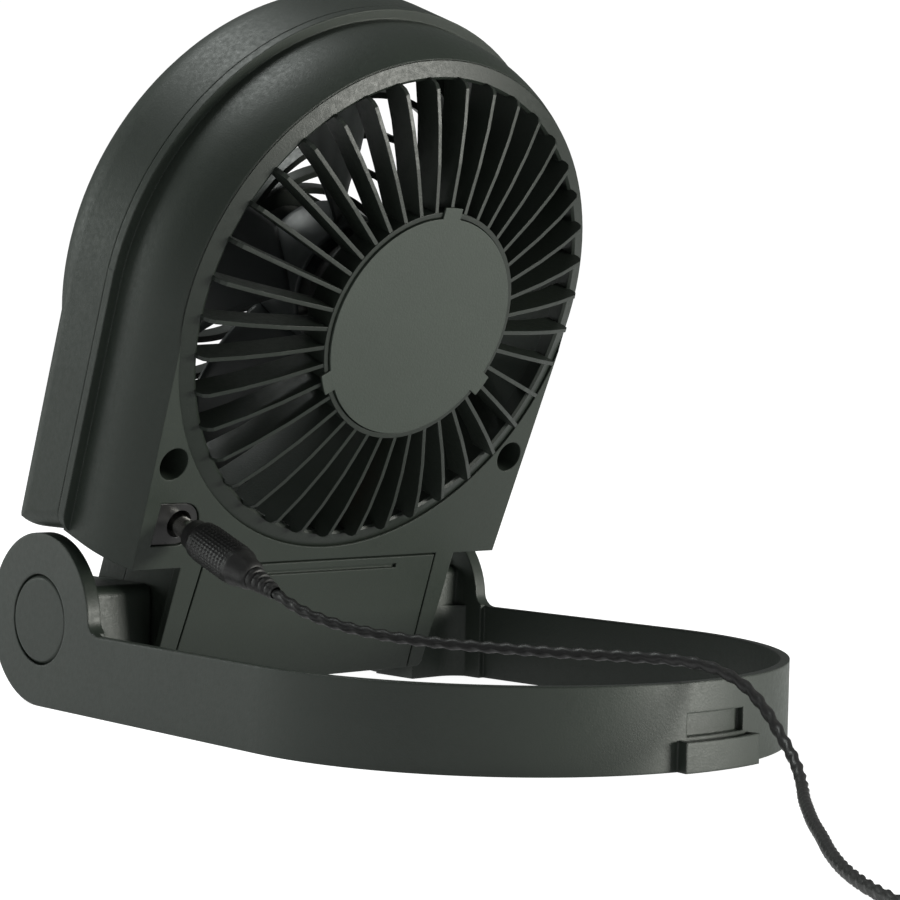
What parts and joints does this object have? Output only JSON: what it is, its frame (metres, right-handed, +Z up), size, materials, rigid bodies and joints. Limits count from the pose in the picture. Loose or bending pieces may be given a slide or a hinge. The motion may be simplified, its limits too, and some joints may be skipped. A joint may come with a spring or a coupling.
{
  "type": "desk fan",
  "caption": "Folding desk fan: a round battery fan head with radial and spiral grilles tilts on a U-shaped loop stand that nests around it, with a plug-in power lead.",
  "frame": {"origin": "on the table, under the middle of the fan's outline without its lead", "axes": "+Z up, +Y towards the rear grille and the closed end of the loop stand, +X across the fan along the tilt pivot, on the power jack's side"},
  "size_m": [0.1834, 0.4578, 0.1906],
  "materials": {
    "shell_plastic": "fine textured",
    "grille_plastic": "satin",
    "stand_plastic": "fine textured",
    "cap_plastic": "satin",
    "impeller_plastic": "semi-gloss",
    "inner_plastic": "as moulded",
    "knob_plastic": "satin",
    "jack_plastic": "satin",
    "washer_plastic": "as moulded",
    "bell_plastic": "as moulded",
    "steel": "satin",
    "motor_steel": "zinc plated",
    "magnet": "dull",
    "bronze": "dull",
    "winding": "enamelled",
    "brush_carbon": "dull",
    "cell_jacket": "plastic sleeved",
    "contact_metal": "nickel plated",
    "plug_metal": "nickel plated",
    "board_laminate": "semi-gloss",
    "wire_red": "satin",
    "wire_black": "satin",
    "lead_jacket": "satin",
    "plug_plastic": "satin",
    "tie_plastic": "satin",
    "adapter_plastic": "fine textured"
  },
  "bodies": {
    "stand": {"stand_loop": "stand_plastic", "pivot_cap_left": "stand_plastic", "pivot_cap_right": "stand_plastic", "pivot_pin_left": "steel", "pivot_pin_right": "steel", "friction_washer_left": "washer_plastic", "friction_washer_right": "washer_plastic", "power_cord": "lead_jacket", "cord_coil": "lead_jacket", "cord_end": "lead_jacket", "cord_tie": "tie_plastic", "adapter_housing": "adapter_plastic", "adapter_blades": "plug_metal"},
    "head": {"front_shell": "shell_plastic", "rear_shell": "shell_plastic", "front_grille": "grille_plastic", "front_grille_cap": "cap_plastic", "rear_grille": "grille_plastic", "rear_hub_plate": "shell_plastic", "case_screws": "steel", "hub_screws": "steel", "motor_bracket": "inner_plastic", "motor_can": "motor_steel", "motor_end_bell": "bell_plastic", "motor_magnets": "magnet", "motor_brushes": "brush_carbon", "motor_bush_front": "bronze", "motor_bush_rear": "bronze", "motor_screws": "steel", "battery_tray": "inner_plastic", "battery_1": "cell_jacket", "battery_2": "cell_jacket", "battery_3": "cell_jacket", "battery_4": "cell_jacket", "battery_springs": "contact_metal", "battery_contacts": "contact_metal", "circuit_board": "board_laminate", "switch_body": "inner_plastic", "jack_housing": "jack_plastic", "jack_pin": "contact_metal", "jack_spring": "contact_metal", "wire_red": "wire_red", "wire_black": "wire_black", "plug_barrel": "plug_metal", "plug_body": "plug_plastic", "plug_strain_relief": "lead_jacket"},
    "rotor": {"impeller": "impeller_plastic", "motor_shaft": "steel", "armature": "winding", "commutator": "winding"},
    "battery_door": {"battery_door": "shell_plastic"},
    "switch_knob": {"switch_knob": "knob_plastic"}
  },
  "joints": [
    {"name": "head_tilt", "type": "hinge", "parent": "stand", "child": "head", "pos_m": [0, -0.0766, 0.0228], "axis": [-1, 0, 0], "range_deg": [-20.5, 69.5], "deforming": ["power_cord"]},
    {"name": "rotor_spin", "type": "hinge", "parent": "head", "child": "rotor", "pos_m": [0, -0.04235, 0.11441], "axis": [0, 0.9367, -0.3502], "continuous": true},
    {"name": "door_slide", "type": "slide", "parent": "head", "child": "battery_door", "axis": [0, -0.3502, -0.9367], "range_m": [0, 0.036]},
    {"name": "switch_slide", "type": "slide", "parent": "head", "child": "switch_knob", "axis": [1, 0, 0], "range_m": [0, 0.006]}
  ]
}
